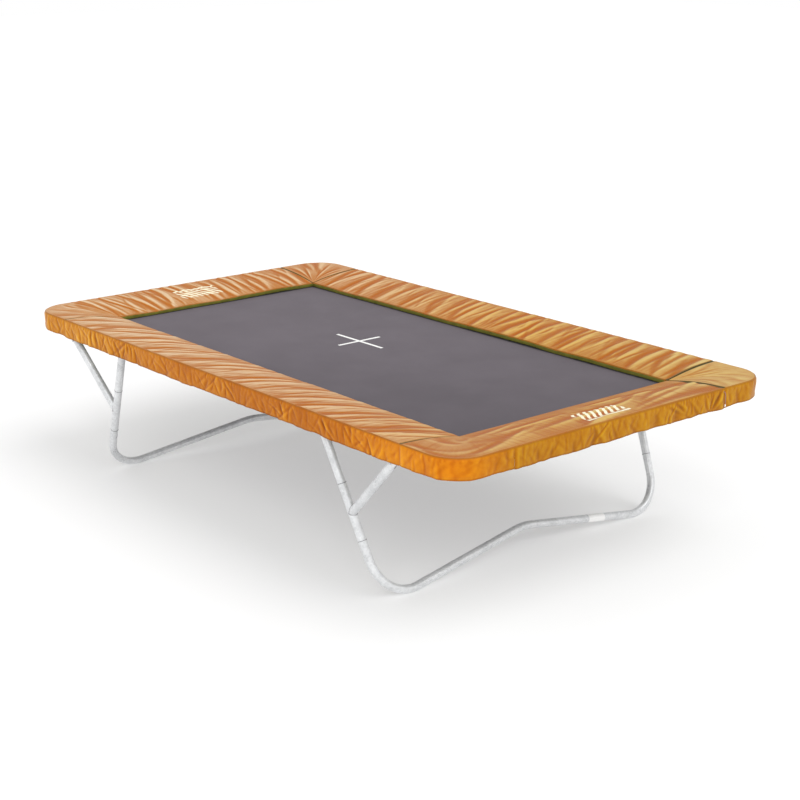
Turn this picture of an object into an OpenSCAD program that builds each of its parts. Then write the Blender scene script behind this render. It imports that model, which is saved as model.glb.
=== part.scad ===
// Rectangular garden trampoline on two bent-tube bases.
// X runs along the length, Y across the width, Z up; the origin is on the ground
// below the middle of the bed. All sizes are in millimetres.

/* [Overall] */
// Length over the edge pads
pad_l = 3676; // [3400:1:4000]
// Width over the edge pads
pad_w = 2134; // [1900:1:2400]
// Height of the pads' outer top edge above the ground
pad_h = 864; // [800:1:950]

/* [Edge pads] */
// Width of the pads from the bed opening to the skirt
pad_band = 355; // [320:1:380]
// How far the pads' inner top edge lies below their outer one
pad_drop = 40.5; // [30:0.5:50]
// Thickness of the pads along the bed opening
inner_t = 25; // [20:0.5:30]
// Thickness of the pads along the outer edge
outer_t = 27; // [22:0.5:28]
// How far the middle of the pads rises above a straight slope
crown = 9; // [0:0.5:15]
// Thickness of the cover fabric and of the skirt
cloth_t = 1.5; // [1:0.1:2]
// Radius of the pads' outer corners, measured outside the skirt
corner_r = 176.5; // [120:0.5:177]
// Depth of the skirt below the pads' outer top edge
skirt_h = 102; // [80:1:130]
// Gap between neighbouring pads
pad_gap = 1; // [0.5:0.1:3]

/* [Frame and leg tubes] */
// Outside diameter of the tubes
tube_d = 42.4; // [38:0.1:42.4]
// Wall thickness of the tubes
wall = 2; // [1.5:0.1:2.5]
// Distance from the bed opening to the rail's centreline
rail_in = 331.5; // [325:0.5:332]
// Height of the rail's centreline
rail_z = 812; // [780:1:812]
// Where each side rail ends and its corner tube starts, from the middle
side_joint_x = 1230; // [1150:1:1300]
// Where each end rail ends and its corner tube starts, from the middle
end_joint_y = 560; // [450:1:600]
// Length of the reduced tube ends that slide into the next tube
spigot_l = 60; // [40:1:80]

/* [Legs] */
// Distance from the middle to where a leg upright meets the side rail
upright_x = 885; // [850:1:950]
// Distance from the middle to where a leg strut meets the corner tube
strut_x = 1470; // [1400:1:1475]
// Outward lean of the uprights along the length, in degrees
leg_splay = 23.7; // [20:0.1:27]
// Inward lean of the uprights across the width, in degrees
leg_tuck = 6; // [3:0.1:8]
// Height of the joint between the welded post and the upright
post_z = 540; // [520:1:600]
// Height at which the strut branches off the upright
strut_z = 407; // [390:1:430]
// Height of the joint between the upright and the base frame
base_z = 280; // [260:1:300]
// Centreline radius of the foot bends
foot_r = 203; // [180:1:210]
// Upward slope of the ground bar from each foot to mid-span, in degrees
bar_slope = 9; // [5:0.5:12]
// Centreline radius of the bend at mid-span
apex_r = 390; // [300:10:500]
// Length of the blank label on the ground bar
label_l = 112; // [80:1:130]

/* [Bed and springs] */
// How far the mat reaches under the pads
mat_under = 46; // [35:1:50]
// Thickness of the woven mat
mat_t = 3; // [2:0.5:3]
// Height of the mat's top face
mat_z = 794.5; // [790:0.5:795]
// Width of the sewn webbing along the mat's edges
web_w = 50; // [40:1:60]
// Distance between neighbouring springs
spring_pitch = 150; // [140:1:152]
// Outside diameter of the springs
spring_d = 20; // [16:1:20]
// Diameter of the spring wire
wire_d = 3.2; // [2.8:0.1:3.6]
// Length of the centre mark's arm along the bed
mark_l = 398; // [300:1:420]
// Length of the centre mark's arm across the bed
mark_w = 292; // [250:1:350]
// Width of the centre mark's tape
mark_t = 18; // [10:1:25]

/* [Hidden] */
$fn = 48;

GALVANISED = [0.76, 0.77, 0.78];
ZINC = [0.62, 0.63, 0.65];
ORANGE = [0.86, 0.52, 0.18];
DARK_ORANGE = [0.80, 0.44, 0.10];
FOAM = [0.92, 0.90, 0.82];
MAT_GREY = [0.26, 0.25, 0.27];
BLACK = [0.08, 0.08, 0.08];
WHITE = [0.94, 0.94, 0.92];

// Half sizes of the bed opening
open_x = pad_l / 2 - pad_band - cloth_t;
open_y = pad_w / 2 - pad_band - cloth_t;
rail_x = open_x + rail_in;
rail_y = open_y + rail_in;
// From the opening's corner to the centre of the round corner, and how much further
// the rail lies from the opening there than along the sides
corner_in = pad_band + cloth_t - corner_r;
corner_reach = (sqrt(2) - 1) * corner_in;
tube_r = tube_d / 2;
bore_d = tube_d - 2 * wall;
spigot_d = bore_d - 0.4;
spigot_bore_d = bore_d - 2 * wall;
// Room for the weld bead where a piece's end is shaped to a tube
weld_gap = 0.3;

// Legs: the base frame lies in a plane that leans inwards by leg_splay
splay = tan(leg_splay);
tuck = tan(leg_tuck);
base_x = upright_x + rail_z * splay;
foot_y = rail_y - rail_z * tuck;
side_lean = atan(cos(leg_splay) * tuck);
foot_cw = tube_r / cos(leg_splay) + foot_r;
foot_cy = foot_y + (foot_cw - foot_r * sin(side_lean)) * tan(side_lean)
    - foot_r * cos(side_lean);
bar_start = [foot_cy - foot_r * sin(bar_slope), foot_cw - foot_r * cos(bar_slope)];
apex_start = [apex_r * sin(bar_slope),
    bar_start.y + (bar_start.x - apex_r * sin(bar_slope)) * tan(bar_slope)];
base_top_w = base_z / cos(leg_splay);
base_top = [foot_y + base_top_w * tan(side_lean), base_top_w];
foot_end = [foot_cy + foot_r * cos(side_lean), foot_cw - foot_r * sin(side_lean)];
label_at = 490;

// Strut fixing: a lug of lug_t under the corner tube fills a slot in the strut's end
strut_stop = 60;
lug_t = 6;
lug_w = 30;
lug_l = 105;
slot_l = 50;
slot_w = lug_t + 0.6;
bolt_d = 8;
bolt_at = 84;
bolt_head_h = 5.5;
bolt_head_d = 14.4;

// Springs run from a pin on the rail at pin_in to the tip of a ring on the mat
pin_in = 292;
pin_d = 6;
spring_z = 806;
ring_tip = 70;
ring_w = 30;
ring_bar = 4;
ring_z = mat_z - mat_t / 2 + 1.5;
coil_start = 86;
coil_end = 276;
corner_cut = mat_under * (2 - sqrt(2));
side_springs_n = 2 * floor((open_x - 40) / spring_pitch) + 2;
end_springs_n = 2 * floor((open_y - 30) / spring_pitch) + 2;

// Centre mark, a little towards the left end as it is sewn on
mark_at = [-222, 78];

// Short tie cord that hangs from the join of the right end pad: hand-set points
cord_d = 4;
cord_path = [
    [1838.2, 700, 846], [1842, 700, 846], [1846, 700, 845.6], [1849.5, 700, 844],
    [1852, 700, 841], [1853.6, 700.2, 837], [1854.4, 700.5, 832], [1854.6, 700.8, 826],
    [1854.5, 701, 820], [1854.2, 701.3, 814], [1853.9, 701.5, 808], [1853.6, 701.8, 802],
    [1853.3, 702, 796], [1853.1, 702.1, 790], [1853, 702.2, 784]];
cord_tip_l = 12;

function on_leg(z) = [upright_x + (rail_z - z) * splay, rail_y - (rail_z - z) * tuck, z];
function spread(n, step) = [for (i = [0 : n - 1]) (i - (n - 1) / 2) * step];
// Outline of a pad's section: distance from the bed opening, height above pad_h;
// t shrinks it to the foam's section
function pad_section(t) = let(
    inner_z = -pad_drop, bottom_z = -pad_drop - inner_t, n = 8) concat(
    [[t, bottom_z + t], [300, -outer_t - 2 + t], [pad_band - t, -outer_t + t]],
    [for (i = [0 : n]) let(u = 1 - i / n)
        [t + u * (pad_band - 2 * t), inner_z * (1 - u) + crown * sin(180 * u) - t]]);

// --- Placing helpers ---

module along(a, b) {
    d = b - a;
    translate(a) rotate([0, acos(d.z / norm(d)), atan2(d.y, d.x)]) children();
}

module rod(a, b, d) {
    along(a, b) cylinder(h = norm(b - a), d = d);
}

// Moves a part made for the right-hand back corner to the corner at sx, sy
module quarter(sx, sy) {
    mirror([sx < 0 ? 1 : 0, 0, 0]) mirror([0, sy < 0 ? 1 : 0, 0]) children();
}

module every_quarter() {
    for (sx = [-1, 1]) for (sy = [-1, 1]) quarter(sx, sy) children();
}

// Places children whose +X points outwards from the bed opening
module along_sides(xs) {
    for (s = [-1, 1]) for (x = xs) translate([x, s * open_y, 0]) rotate(s * 90) children();
}

module along_ends(ys) {
    for (s = [-1, 1]) for (y = ys)
        translate([s * open_x, y, 0]) rotate(s > 0 ? 0 : 180) children();
}

module at_corners() {
    for (sx = [-1, 1]) for (sy = [-1, 1])
        translate([sx * open_x, sy * open_y, 0])
            rotate(atan2(sy, sx)) children();
}

module at_corner() {
    translate([open_x, open_y, 0]) children();
}

// --- Frame ---

// Reduced end that points along +Z from the end of a tube at the origin
module spigot() {
    difference() {
        union() {
            translate([0, 0, -11]) cylinder(h = 10, d = bore_d + weld_gap);
            translate([0, 0, -5]) cylinder(h = spigot_l + 5, d = spigot_d);
        }
        translate([0, 0, -12]) cylinder(h = spigot_l + 13, d = spigot_bore_d);
    }
}

module straight_tube(a, b) {
    along(a, b) linear_extrude(norm(b - a)) difference() {
        circle(d = tube_d);
        circle(d = bore_d);
    }
}

module corner_tube() {
    color(GALVANISED) {
        at_corner() translate([corner_in, corner_in, rail_z]) rotate_extrude(angle = 90)
            translate([rail_in - corner_in, 0]) difference() {
                circle(d = tube_d);
                circle(d = bore_d);
            }
        straight_tube([side_joint_x, rail_y, rail_z], [open_x + corner_in, rail_y, rail_z]);
        straight_tube([rail_x, end_joint_y, rail_z], [rail_x, open_y + corner_in, rail_z]);
        translate([side_joint_x, rail_y, rail_z]) rotate([0, -90, 0]) spigot();
        translate([rail_x, end_joint_y, rail_z]) rotate([90, 0, 0]) spigot();
    }
}

module side_rail(with_spigot) {
    color(GALVANISED) {
        straight_tube([0, rail_y, rail_z], [side_joint_x, rail_y, rail_z]);
        if (with_spigot) translate([0, rail_y, rail_z]) rotate([0, -90, 0]) spigot();
    }
}

module end_rail() {
    color(GALVANISED)
        straight_tube([rail_x, -end_joint_y, rail_z], [rail_x, end_joint_y, rail_z]);
}

module rail_space() {
    translate([0, rail_y, rail_z]) rotate([0, 90, 0])
        cylinder(h = open_x, d = tube_d + 2 * weld_gap);
}

module spring_pin() {
    translate([0, 0, spring_z]) {
        difference() {
            translate([pin_in - 6, -7, -9]) cube([rail_in - pin_in, 14, 4]);
            translate([rail_in, 20, rail_z - spring_z]) rotate([90, 0, 0])
                cylinder(h = 40, d = tube_d + 2 * weld_gap);
        }
        translate([pin_in, 0, -5]) cylinder(h = 13, d = pin_d);
    }
}

module spring_pins() {
    color(ZINC) {
        along_sides(spread(side_springs_n, spring_pitch)) spring_pin();
        along_ends(spread(end_springs_n, spring_pitch)) spring_pin();
        at_corners() translate([corner_reach, 0, 0]) spring_pin();
    }
}

// --- Legs ---

module leg_post() {
    color(GALVANISED) {
        difference() {
            straight_tube(on_leg(post_z), on_leg(rail_z));
            rail_space();
        }
        along(on_leg(post_z), on_leg(0)) spigot();
    }
}

module leg_upright() {
    color(GALVANISED) straight_tube(on_leg(base_z), on_leg(post_z));
}

strut_low = on_leg(strut_z);
strut_high = [strut_x, rail_y, rail_z];
strut_len = norm(strut_high - strut_low);

module along_strut(down_from_rail) {
    along(strut_high, strut_low) translate([0, 0, down_from_rail]) children();
}

module leg_strut() {
    color(GALVANISED) difference() {
        along_strut(strut_stop) cylinder(h = strut_len - strut_stop, d = tube_d);
        along_strut(strut_stop - 1) cylinder(h = strut_len, d = bore_d);
        rod(on_leg(base_z), on_leg(post_z), tube_d + 2 * weld_gap);
        along_strut(strut_stop - 1) translate([-tube_d, -slot_w / 2, 0])
            cube([2 * tube_d, slot_w, slot_l + 1]);
        along_strut(bolt_at) rotate([90, 0, 0])
            cylinder(h = 2 * tube_d, d = bolt_d + 0.4, center = true);
    }
}

module strut_lugs() {
    color(ZINC) every_quarter() difference() {
        along_strut(0) translate([-lug_w / 2, -lug_t / 2, 0]) cube([lug_w, lug_t, lug_l]);
        translate([strut_x - 200, rail_y, rail_z]) rotate([0, 90, 0])
            cylinder(h = 400, d = tube_d);
        translate([strut_x - 200, rail_y - 50, rail_z]) cube([400, 100, 100]);
        along_strut(bolt_at) rotate([90, 0, 0])
            cylinder(h = 2 * tube_d, d = bolt_d + 0.4, center = true);
    }
}

module strut_bolts() {
    color(ZINC) every_quarter() along_strut(bolt_at) rotate([90, 0, 0]) {
        translate([0, 0, -tube_r - 10]) cylinder(h = 2 * tube_r + 10.2, d = bolt_d);
        translate([0, 0, tube_r + 0.2]) cylinder(h = bolt_head_h, d = bolt_head_d, $fn = 6);
    }
}

module strut_nuts() {
    color(ZINC) every_quarter() along_strut(bolt_at) rotate([90, 0, 0])
        translate([0, 0, -tube_r - 7]) difference() {
            cylinder(h = 6.5, d = bolt_head_d, $fn = 6);
            translate([0, 0, -1]) cylinder(h = 9, d = bolt_d);
        }
}

// Turns flat XY geometry into the leaning plane of the right-hand base frame
module base_plane() {
    translate([base_x, 0, 0]) rotate([0, -leg_splay, 0]) rotate([90, 0, 90]) children();
}

module flat_tube(a, b) {
    straight_tube([a.x, a.y, 0], [b.x, b.y, 0]);
}

// A bend's stretched wall is thinner, and its ends run into the straight tubes' wall
module flat_bend(c, r, from, to) {
    lap = 200 / r;
    translate([c.x, c.y, 0]) rotate(from - lap) rotate_extrude(angle = to - from + 2 * lap)
        translate([r, 0]) difference() {
            circle(d = tube_d - weld_gap);
            circle(d = bore_d + weld_gap);
        }
}

module base_frame() {
    color(GALVANISED) base_plane() {
        for (s = [0, 1]) mirror([s, 0, 0]) {
            flat_tube(foot_end, base_top);
            flat_bend([foot_cy, foot_cw], foot_r, -90 - bar_slope, -side_lean);
            flat_tube(apex_start, bar_start);
            translate([base_top.x, base_top.y, 0]) rotate(-side_lean)
                rotate([-90, 0, 0]) spigot();
        }
        flat_bend([0, apex_start.y - apex_r * cos(bar_slope)], apex_r,
            90 - bar_slope, 90 + bar_slope);
    }
}

module blank_label() {
    color(WHITE) base_plane() {
        rise = tan(bar_slope);
        a = [label_at, apex_start.y - (label_at - apex_start.x) * rise];
        translate([a.x, a.y, 0]) rotate(-bar_slope) rotate([0, 90, 0]) difference() {
            translate([0, 0, -label_l / 2]) cylinder(h = label_l, d = tube_d + 1);
            translate([0, 0, -label_l]) cylinder(h = 2 * label_l, d = tube_d);
        }
    }
}

// --- Bed ---

module mat_outline() {
    x = open_x + mat_under;
    y = open_y + mat_under;
    c = corner_cut;
    polygon([[x - c, y], [-x + c, y], [-x, y - c], [-x, -y + c],
        [-x + c, -y], [x - c, -y], [x, -y + c], [x, y - c]]);
}

module mat() {
    color(MAT_GREY) translate([0, 0, mat_z - mat_t]) linear_extrude(mat_t) mat_outline();
}

// Sewn loop that holds one ring
module ring_tab() {
    translate([mat_under, -6, ring_z]) difference() {
        translate([0, 0, -3.6]) cube([7, 12, 7.2]);
        translate([1, -1, -ring_bar / 2 - 0.2]) cube([ring_bar + 0.4, 14, ring_bar + 0.4]);
    }
}

module mat_webbing() {
    x = open_x + mat_under;
    y = open_y + mat_under;
    color(BLACK) {
        translate([0, 0, mat_z]) linear_extrude(1.5) difference() {
            mat_outline();
            square([2 * (x - web_w), 2 * (y - web_w)], center = true);
        }
        along_sides(spread(side_springs_n, spring_pitch)) ring_tab();
        along_ends(spread(end_springs_n, spring_pitch)) ring_tab();
        at_corners() ring_tab();
    }
}

module centre_mark() {
    color(WHITE) translate([mark_at.x, mark_at.y, mat_z]) linear_extrude(0.6) {
        square([mark_l, mark_t], center = true);
        square([mark_t, mark_w], center = true);
    }
}

module v_ring() {
    a = mat_under + 1.2;
    b = ring_tip;
    translate([0, 0, ring_z - ring_bar / 2]) linear_extrude(ring_bar) difference() {
        polygon([[a, -ring_w / 2], [b, -3], [b, 3], [a, ring_w / 2]]);
        polygon([[a + ring_bar, -ring_w / 2 + 7], [b - ring_bar, -1],
            [b - ring_bar, 1], [a + ring_bar, ring_w / 2 - 7]]);
    }
}

module v_rings() {
    color(ZINC) {
        along_sides(spread(side_springs_n, spring_pitch)) v_ring();
        along_ends(spread(end_springs_n, spring_pitch)) v_ring();
        at_corners() v_ring();
    }
}

// A spring as one plain body between its two end hooks
module spring(reach = 0) {
    a = [ring_tip + 0.6, 0, ring_z];
    b = [pin_in + reach - pin_d / 2 - 0.6, 0, spring_z];
    slope = (b.z - a.z) / (b.x - a.x);
    c = [coil_start, 0, a.z + slope * (coil_start - a.x)];
    d = [coil_end + reach, 0, a.z + slope * (coil_end + reach - a.x)];
    rod(a, b, wire_d);
    rod(c, d, spring_d);
}

module side_springs() {
    color(ZINC) along_sides(spread(side_springs_n, spring_pitch)) spring();
}

module end_springs() {
    color(ZINC) along_ends(spread(end_springs_n, spring_pitch)) spring();
}

module corner_springs() {
    color(ZINC) at_corners() spring(corner_reach);
}

// --- Pads ---

module section(t) {
    translate([0, pad_h]) polygon(pad_section(t));
}

// Extrudes a section along a side or an end, centred, with +X of the section outwards
module run(len) {
    rotate([90, 0, 0]) translate([0, 0, -len / 2]) linear_extrude(len) children();
}

module place_side(s) {
    translate([0, s * open_y, 0]) rotate(s * 90) children();
}

module place_end(s) {
    translate([s * open_x, 0, 0]) rotate(s > 0 ? 0 : 180) children();
}

module foam_run(len) {
    run(len - 2 * cloth_t - 2 * pad_gap) section(cloth_t);
}

module cover_run(len) {
    difference() {
        run(len - 2 * pad_gap) section(0);
        foam_run(len);
    }
}

// Plan of a corner pad, square from inner out to pad_band - t, with one rounded corner
module corner_plan(inner, t) {
    b = pad_band - t;
    r = corner_r - cloth_t - t;
    translate([inner, inner]) square([b - inner, b - r - inner]);
    translate([inner, inner]) square([b - r - inner, b - inner]);
    translate([b - r, b - r]) circle(r);
}

// Half of a corner pad, up to the mitre: the side pad's section carried on
module corner_half(t) {
    intersection() {
        rotate([90, 0, 90]) linear_extrude(pad_band) section(t);
        linear_extrude(2 * pad_h) polygon([[t, t], [pad_band, pad_band], [t, pad_band]]);
    }
}

module corner_block(t) {
    intersection() {
        union() {
            corner_half(t);
            mirror([1, -1, 0]) corner_half(t);
        }
        linear_extrude(2 * pad_h) corner_plan(t, t);
    }
}

module corner_foam() {
    at_corner() corner_block(cloth_t);
}

module corner_cover() {
    color(ORANGE) at_corner() difference() {
        corner_block(0);
        corner_block(cloth_t);
    }
}

module skirt_section() {
    translate([pad_band, pad_h - skirt_h]) square([cloth_t, skirt_h - 3]);
}

module side_pad_foam() {
    color(FOAM) for (s = [-1, 1]) place_side(s) foam_run(2 * open_x);
}

module end_pad_foam() {
    color(FOAM) for (s = [-1, 1]) place_end(s) foam_run(2 * open_y);
}

module corner_pad_foam() {
    color(FOAM) every_quarter() corner_foam();
}

module side_cover(s) {
    color(ORANGE) place_side(s) cover_run(2 * open_x);
}

module end_cover(s) {
    color(ORANGE) place_end(s) cover_run(2 * open_y);
}

module side_skirt(s) {
    color(DARK_ORANGE) place_side(s) run(2 * open_x - 2 * pad_gap) skirt_section();
}

module end_skirt(s) {
    color(DARK_ORANGE) place_end(s) run(2 * open_y - 2 * pad_gap) skirt_section();
}

module corner_skirt() {
    color(DARK_ORANGE) at_corner() translate([0, 0, pad_h - skirt_h])
        linear_extrude(skirt_h - 3) difference() {
            corner_plan(0, -cloth_t);
            corner_plan(-1, 0);
        }
}

// Elastic band round the rail
module tie_band() {
    translate([rail_in, 10, rail_z]) rotate([90, 0, 0]) difference() {
        cylinder(h = 20, d = tube_d + 2.4);
        translate([0, 0, -1]) cylinder(h = 22, d = tube_d + 0.6);
    }
}

module pad_ties() {
    color(BLACK) {
        along_sides([for (s = [-1, 1]) for (x = [150 : 300 : 1350]) s * x]) tie_band();
        along_sides([-open_x - 80, open_x + 80]) tie_band();
        along_ends([-450, -150, 150, 450]) tie_band();
        along_ends([-open_y - 80, open_y + 80]) tie_band();
    }
}

// --- Tie cord ---

function unit(v) = v / norm(v);
function heading(p, i) = unit(p[min(i + 1, len(p) - 1)] - p[max(i - 1, 0)]);
// One ring of the tube round point i; the cord's path never runs along Y
function ring(p, i, d, n) = let(h = heading(p, i), s = unit(cross([0, 1, 0], h)),
    t = cross(h, s)) [for (k = [0 : n - 1])
        p[i] + d / 2 * (s * cos(360 * k / n) + t * sin(360 * k / n))];

module tube_along(p, d, n) {
    m = len(p);
    points = [for (i = [0 : m - 1]) each ring(p, i, d, n)];
    sides = [for (i = [0 : m - 2]) for (k = [0 : n - 1]) let(j = (k + 1) % n)
        [i * n + k, i * n + j, (i + 1) * n + j, (i + 1) * n + k]];
    first = [for (k = [n - 1 : -1 : 0]) k];
    last = [for (k = [0 : n - 1]) (m - 1) * n + k];
    polyhedron(points, concat([first], sides, [last]));
}

module tie_cord() {
    color(DARK_ORANGE) tube_along(cord_path, cord_d, 8);
}

module tie_cord_tip() {
    end = cord_path[len(cord_path) - 1];
    color(WHITE) translate(end - [0, 0, cord_tip_l]) cylinder(h = cord_tip_l, d = cord_d + 1.6);
}

quarter(-1, -1) corner_tube();  // corner_tube_front_left
quarter(1, -1) corner_tube();  // corner_tube_front_right
quarter(-1, 1) corner_tube();  // corner_tube_back_left
quarter(1, 1) corner_tube();  // corner_tube_back_right
quarter(-1, -1) side_rail(false);  // side_rail_front_left
quarter(1, -1) side_rail(true);  // side_rail_front_right
quarter(-1, 1) side_rail(false);  // side_rail_back_left
quarter(1, 1) side_rail(true);  // side_rail_back_right
quarter(-1, 1) end_rail();  // end_rail_left
end_rail();  // end_rail_right
quarter(-1, -1) leg_post();  // leg_post_front_left
quarter(1, -1) leg_post();  // leg_post_front_right
quarter(-1, 1) leg_post();  // leg_post_back_left
quarter(1, 1) leg_post();  // leg_post_back_right
quarter(-1, -1) leg_upright();  // leg_upright_front_left
quarter(1, -1) leg_upright();  // leg_upright_front_right
quarter(-1, 1) leg_upright();  // leg_upright_back_left
quarter(1, 1) leg_upright();  // leg_upright_back_right
quarter(-1, -1) leg_strut();  // leg_strut_front_left
quarter(1, -1) leg_strut();  // leg_strut_front_right
quarter(-1, 1) leg_strut();  // leg_strut_back_left
quarter(1, 1) leg_strut();  // leg_strut_back_right
quarter(-1, 1) base_frame();  // base_frame_left
base_frame();  // base_frame_right
blank_label();
strut_lugs();
strut_bolts();
strut_nuts();
spring_pins();
side_springs();
end_springs();
corner_springs();
mat();
mat_webbing();
centre_mark();
v_rings();
side_pad_foam();
end_pad_foam();
corner_pad_foam();
side_cover(-1);  // side_cover_front
side_cover(1);  // side_cover_back
end_cover(-1);  // end_cover_left
end_cover(1);  // end_cover_right
quarter(-1, -1) corner_cover();  // corner_cover_front_left
quarter(1, -1) corner_cover();  // corner_cover_front_right
quarter(-1, 1) corner_cover();  // corner_cover_back_left
quarter(1, 1) corner_cover();  // corner_cover_back_right
side_skirt(-1);  // side_skirt_front
side_skirt(1);  // side_skirt_back
end_skirt(-1);  // end_skirt_left
end_skirt(1);  // end_skirt_right
quarter(-1, -1) corner_skirt();  // corner_skirt_front_left
quarter(1, -1) corner_skirt();  // corner_skirt_front_right
quarter(-1, 1) corner_skirt();  // corner_skirt_back_left
quarter(1, 1) corner_skirt();  // corner_skirt_back_right
pad_ties();
tie_cord();
tie_cord_tip();
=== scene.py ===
import math

import bpy
import numpy as np
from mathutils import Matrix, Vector


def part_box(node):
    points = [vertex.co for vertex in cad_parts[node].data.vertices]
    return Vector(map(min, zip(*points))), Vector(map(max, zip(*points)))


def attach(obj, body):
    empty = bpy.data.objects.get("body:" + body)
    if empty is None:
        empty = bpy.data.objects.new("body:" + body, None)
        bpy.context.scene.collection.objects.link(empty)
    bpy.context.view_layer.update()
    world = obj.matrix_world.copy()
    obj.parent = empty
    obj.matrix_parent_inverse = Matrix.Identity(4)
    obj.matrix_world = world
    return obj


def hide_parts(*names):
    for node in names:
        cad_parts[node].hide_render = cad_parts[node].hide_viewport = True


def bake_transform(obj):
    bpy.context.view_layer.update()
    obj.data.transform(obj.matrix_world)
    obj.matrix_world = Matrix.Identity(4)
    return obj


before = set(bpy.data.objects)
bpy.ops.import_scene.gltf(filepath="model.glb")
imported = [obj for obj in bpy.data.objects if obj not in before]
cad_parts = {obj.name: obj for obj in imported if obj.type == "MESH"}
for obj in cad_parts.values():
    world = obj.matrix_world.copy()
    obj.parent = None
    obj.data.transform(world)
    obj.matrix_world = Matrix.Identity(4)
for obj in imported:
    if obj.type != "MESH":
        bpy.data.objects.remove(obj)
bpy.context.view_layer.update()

# Sizes are in metres. What the CAD model has comes from its nodes' boxes.
cover_low, cover_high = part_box("side_cover_back")
skirt_low, skirt_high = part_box("side_skirt_back")
ring_low, ring_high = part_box("v_rings")
rail_low, rail_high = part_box("side_rail_back_right")
mat_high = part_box("mat")[1]

# Pads: the bed's opening reaches OPEN_X and OPEN_Y from the origin, and a pad is BAND wide
GAP = 0.001  # between a pad's end and the next pad
OPEN_X = cover_high.x + GAP
OPEN_Y = cover_low.y
BAND = cover_high.y - cover_low.y
PAD_R = 0.175  # outer rounding of a corner pad
CORNER_IN = BAND - PAD_R  # straight part of a corner pad at each end of its rounding
TOP_Z = skirt_high.z + 0.003  # outer edge of the pads' tops
INNER_DROP = 0.0405  # how much lower their inner edge is
CROWN = 0.009  # rise of the top between its edges
INNER_T = 0.025  # thickness at the inner edge
OUTER_T = 0.027  # and at the outer one
RIM_R = 0.0045  # rounding of the top's outer edge
EDGE_SWAY = 0.0035  # how far the inner edge rises and falls
PAD_CELL = 0.0095  # cells of the cloth simulation along a pad and its skirt
PAD_COLUMNS = 28  # and across the pad

# Skirts
SEAM_Z = TOP_Z - 0.004
HEM_Z = skirt_low.z
SKIRT_U = BAND + 0.0016  # where a skirt hangs, from the opening's edge
SKIRT_T = 0.0011
SKIRT_ROWS = 10

# How far the procedural folds rise, and how much longer the cloth starts than its place
TOP_FOLDS, SKIRT_FOLDS = 0.0038, 1.0
TOP_SLACK, SKIRT_SLACK = 1.010, 1.014
SETTLE_FRAMES = 16

# Rails and legs
TUBE_R = (rail_high.z - rail_low.z) / 2
RAIL_Z = (rail_high.z + rail_low.z) / 2
RAIL_Y = (rail_high.y + rail_low.y) / 2
LEG_SPLAY, LEG_TUCK = math.radians(23.7), math.radians(6)  # leans along and across the bed
STRUT_LOW_Z = 0.407  # where a strut's axis meets its upright's
STRUT_TOP_X = 1.47  # and the rail's

# Springs, measured outwards from the opening's edge
RING_Z = (ring_high.z + ring_low.z) / 2
RING_TIP = ring_high.x - OPEN_X
MAT_EDGE = mat_high.x - OPEN_X
PIN_IN = 0.292  # the rail's pin
PIN_R = 0.003
SPRING_Z = 0.806  # height of a spring's hook on its pin
SPRING_PITCH = 0.15
WIRE_R = 0.0016
COIL_R = 0.0084
COIL_START, COIL_END = 0.086, 0.276
CORNER_REACH = (math.sqrt(2) - 1) * CORNER_IN  # how much longer a corner spring is


# --- Mesh helpers ---


def noise(seed, x, y, cell_x, cell_y):
    """Smooth noise from -1 to 1 at the points x, y, on cells of that size."""
    values = np.random.default_rng(seed).uniform(-1, 1, (128, 128))
    x, y = np.broadcast_arrays(x / cell_x, y / cell_y)
    i, j = np.floor(x).astype(int), np.floor(y).astype(int)
    a, b = x - i, y - j
    a, b = a * a * (3 - 2 * a), b * b * (3 - 2 * b)
    v = lambda m, n: values[m % 128, n % 128]
    low = v(i, j) * (1 - a) + v(i + 1, j) * a
    return low * (1 - b) + (v(i, j + 1) * (1 - a) + v(i + 1, j + 1) * a) * b


def smooth(low, high, x):
    """0 below low, 1 above high and smooth between."""
    t = np.clip((x - low) / (high - low), 0, 1)
    return t * t * (3 - 2 * t)


def mesh_object(name, points, faces, materials, uvs=None, face_material=None, crisp=None):
    """A smooth-shaded mesh, with edges sharper than crisp degrees kept sharp."""
    mesh = bpy.data.meshes.new(name)
    mesh.from_pydata(np.asarray(points).reshape(-1, 3).tolist(), [], faces)
    for m in materials:
        mesh.materials.append(m)
    mesh.shade_smooth()
    if face_material is not None:
        mesh.polygons.foreach_set("material_index", face_material)
    if crisp is not None:
        mesh.set_sharp_from_angle(angle=math.radians(crisp))
    if uvs is not None:
        corners = np.zeros(len(mesh.loops), int)
        mesh.loops.foreach_get("vertex_index", corners)
        layer = mesh.uv_layers.new(name="UVMap")
        layer.data.foreach_set("uv", np.asarray(uvs)[corners].ravel())
    obj = bpy.data.objects.new(name, mesh)
    bpy.context.collection.objects.link(obj)
    return obj


def attribute(obj, name, values):
    """A value for each point, which a material can read by its name."""
    layer = obj.data.attributes.new(name, "FLOAT", "POINT")
    layer.data.foreach_set("value", np.asarray(values, np.float32).ravel())


def grid_faces(rows, columns, first=0):
    """Quads of a grid of rows x columns points."""
    i, j = np.meshgrid(np.arange(rows - 1), np.arange(columns - 1), indexing="ij")
    a = (first + i * columns + j).ravel()
    return np.stack([a, a + columns, a + columns + 1, a + 1], 1)


def wrapped_faces(rows, around, flip):
    """Faces of a closed form made of rows of points, each a loop of that many points: its
    sides, loop point by loop point, and then its two end caps."""
    faces = []
    a = np.arange(rows - 1) * around
    for k in range(around):
        l = (k + 1) % around
        faces += np.stack([a + k, a + around + k, a + around + l, a + l], 1).tolist()
    faces.append(list(range(around)))
    faces.append([(rows - 1) * around + k for k in range(around)][::-1])
    return [f[::-1] for f in faces] if flip else faces


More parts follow.
